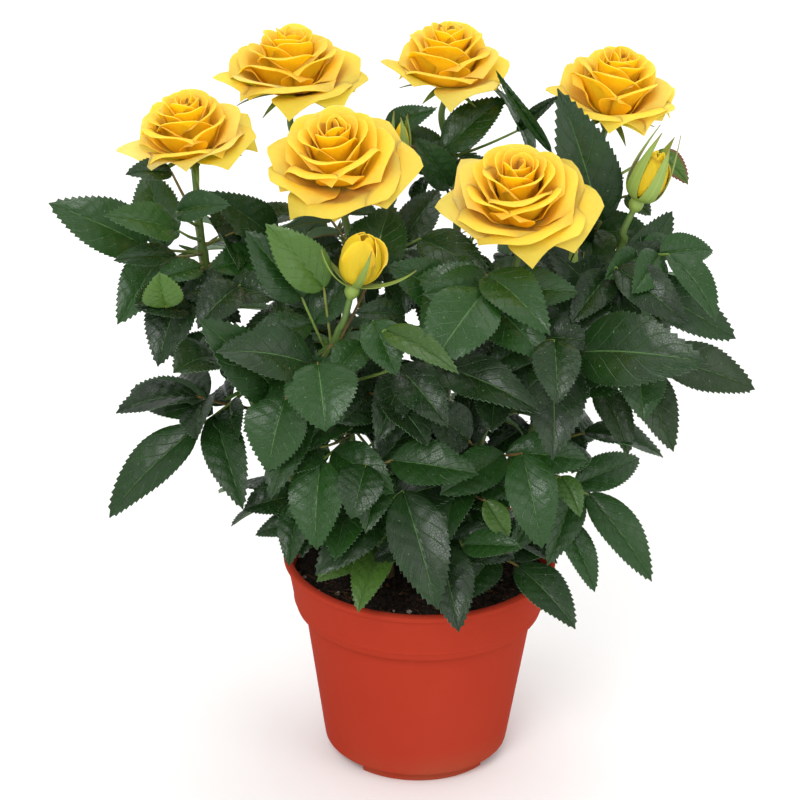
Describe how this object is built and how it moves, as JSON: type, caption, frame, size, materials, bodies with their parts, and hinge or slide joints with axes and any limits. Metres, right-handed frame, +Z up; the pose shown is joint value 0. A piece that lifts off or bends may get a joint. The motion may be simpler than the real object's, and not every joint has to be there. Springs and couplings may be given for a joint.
{
  "type": "potted rose",
  "caption": "Miniature rose plant with yellow double blooms, buds and glossy compound leaves, growing in soil in a round tapered plastic nursery pot.",
  "frame": {"origin": "centre of the pot's flat underside", "axes": "+Z up, the plant's front towards -Y"},
  "size_m": [0.3043, 0.2245, 0.3314],
  "materials": {
    "pot_plastic": "injection-moulded terracotta-coloured plastic, satin, with faint vertical flow marks",
    "soil": "dark moist peat compost with fibres and pale crumbs",
    "stem": "green cane, browner and woodier towards its foot, with small thorns",
    "sepal": "light green, matte, finely hairy at the edge",
    "outer_petal": "velvety yellow, paler towards the rim and the underside",
    "inner_petal": "velvety deep yellow, warmer towards the heart",
    "leaf": "glossy dark green upper side with a pale midrib and side veins, greyer matte underside"
  },
  "bodies": {
    "root": {"calyx_centre_left": "sepal", "calyx_centre_right": "sepal", "calyx_front_bud": "sepal", "calyx_left": "sepal", "calyx_right_bud": "sepal", "calyx_top": "sepal", "calyx_top_left": "sepal", "calyx_top_right": "sepal", "cane_back": "stem", "cane_back_left": "stem", "cane_back_right": "stem", "cane_centre": "stem", "cane_front": "stem", "cane_left": "stem", "cane_low": "stem", "cane_right": "stem", "closed_bud_centre": "sepal", "closed_bud_small": "sepal", "inner_petals_centre_left": "inner_petal", "inner_petals_centre_right": "inner_petal", "inner_petals_left": "inner_petal", "inner_petals_top": "inner_petal", "inner_petals_top_left": "inner_petal", "inner_petals_top_right": "inner_petal", "leaf_back": "leaf", "leaf_back_left": "leaf", "leaf_back_low_left": "leaf", "leaf_back_low_right": "leaf", "leaf_back_right": "leaf", "leaf_centre_big": "leaf", "leaf_centre_left": "leaf", "leaf_centre_right": "leaf", "leaf_front_left": "leaf", "leaf_front_pair": "leaf", "leaf_front_rim": "leaf", "leaf_left_high": "leaf", "leaf_left_inner": "leaf", "leaf_left_low": "leaf", "leaf_right_big": "leaf", "leaf_right_far": "leaf", "leaf_right_front": "leaf", "leaf_right_high": "leaf", "leaf_right_low": "leaf", "leaf_rim_left": "leaf", "leaf_rim_right": "leaf", "leaf_top": "leaf", "leaf_top_back": "leaf", "leaf_top_right": "leaf", "outer_petals_centre_left": "outer_petal", "outer_petals_centre_right": "outer_petal", "outer_petals_left": "outer_petal", "outer_petals_top": "outer_petal", "outer_petals_top_left": "outer_petal", "outer_petals_top_right": "outer_petal", "petals_front_bud": "inner_petal", "petals_right_bud": "inner_petal", "pot": "pot_plastic", "shoot_centre": "stem", "shoot_right": "stem", "soil": "soil"}
  },
  "joints": []
}
